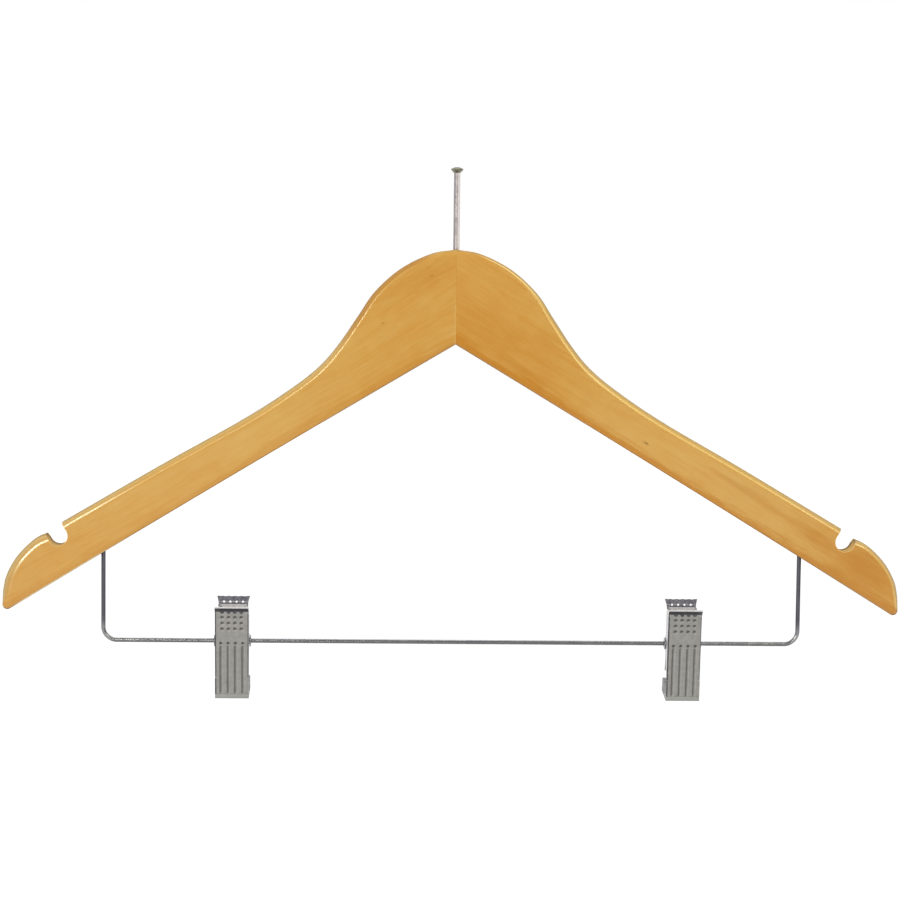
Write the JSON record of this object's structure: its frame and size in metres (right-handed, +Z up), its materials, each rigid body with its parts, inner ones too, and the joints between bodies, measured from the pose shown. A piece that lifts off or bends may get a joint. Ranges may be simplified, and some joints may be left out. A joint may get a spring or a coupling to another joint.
{
  "type": "clothes hanger",
  "caption": "Flat wooden combo hanger on a nail-type hanging pin, with strap notches and a wire bar that carries two sliding, swivelling, sprung clips.",
  "frame": {"origin": "on the hanging pin's axis, level with the underside of its head, where the rail's ring carries it", "axes": "+Z up along the pin, +X along the wire bar, -Y towards the side with the clips' front levers"},
  "size_m": [0.432, 0.0252, 0.2563],
  "materials": {
    "arm_wood": "clear gloss lacquer",
    "spline_wood": "bare",
    "pin_chrome": "bright plated",
    "wire_chrome": "bright plated",
    "tube_chrome": "bright plated",
    "lever_steel": "satin plated",
    "spring_steel": "drawn wire",
    "cushion_vinyl": "soft vinyl"
  },
  "bodies": {
    "hanger": {"arm_left": "arm_wood", "arm_right": "arm_wood", "centre_spline": "spline_wood", "hanging_pin": "pin_chrome", "clip_bar": "wire_chrome"},
    "left_clip_slider": {"left_clip_pivot_tube": "tube_chrome"},
    "left_clip_core": {"left_clip_spring": "spring_steel"},
    "left_clip_front": {"left_clip_front_lever": "lever_steel", "left_clip_front_cushion": "cushion_vinyl"},
    "left_clip_rear": {"left_clip_rear_lever": "lever_steel", "left_clip_rear_cushion": "cushion_vinyl"},
    "right_clip_slider": {"right_clip_pivot_tube": "tube_chrome"},
    "right_clip_core": {"right_clip_spring": "spring_steel"},
    "right_clip_front": {"right_clip_front_lever": "lever_steel", "right_clip_front_cushion": "cushion_vinyl"},
    "right_clip_rear": {"right_clip_rear_lever": "lever_steel", "right_clip_rear_cushion": "cushion_vinyl"}
  },
  "joints": [
    {"name": "left_clip_slide", "type": "slide", "parent": "hanger", "child": "left_clip_slider", "axis": [1, 0, 0], "range_m": [-0.046, 0.096]},
    {"name": "left_clip_swing", "type": "hinge", "parent": "left_clip_slider", "child": "left_clip_core", "pos_m": [-0.1059, 0, -0.2261], "axis": [1, 0, 0], "continuous": true},
    {"name": "left_clip_squeeze", "type": "hinge", "parent": "left_clip_core", "child": "left_clip_front", "pos_m": [-0.1059, 0, -0.2261], "axis": [-1, 0, 0], "range_deg": [0, 16], "stiffness_Nm_per_rad": 0.05, "springref_deg": -57.3, "deforming": ["left_clip_spring"]},
    {"name": "left_clip_rear_squeeze", "type": "hinge", "parent": "left_clip_core", "child": "left_clip_rear", "pos_m": [-0.1059, 0, -0.2261], "axis": [1, 0, 0], "range_deg": [0, 16], "stiffness_Nm_per_rad": 0.05, "springref_deg": -57.3},
    {"name": "right_clip_slide", "type": "slide", "parent": "hanger", "child": "right_clip_slider", "axis": [1, 0, 0], "range_m": [-0.1021, 0.04]},
    {"name": "right_clip_swing", "type": "hinge", "parent": "right_clip_slider", "child": "right_clip_core", "pos_m": [0.112, 0, -0.2261], "axis": [1, 0, 0], "continuous": true},
    {"name": "right_clip_squeeze", "type": "hinge", "parent": "right_clip_core", "child": "right_clip_front", "pos_m": [0.112, 0, -0.2261], "axis": [-1, 0, 0], "range_deg": [0, 16], "stiffness_Nm_per_rad": 0.05, "springref_deg": -57.3, "deforming": ["right_clip_spring"]},
    {"name": "right_clip_rear_squeeze", "type": "hinge", "parent": "right_clip_core", "child": "right_clip_rear", "pos_m": [0.112, 0, -0.2261], "axis": [1, 0, 0], "range_deg": [0, 16], "stiffness_Nm_per_rad": 0.05, "springref_deg": -57.3}
  ],
  "couplings": [
    {"joint": "left_clip_rear_squeeze", "follows": "left_clip_squeeze", "ratio": 1},
    {"joint": "right_clip_rear_squeeze", "follows": "right_clip_squeeze", "ratio": 1}
  ]
}
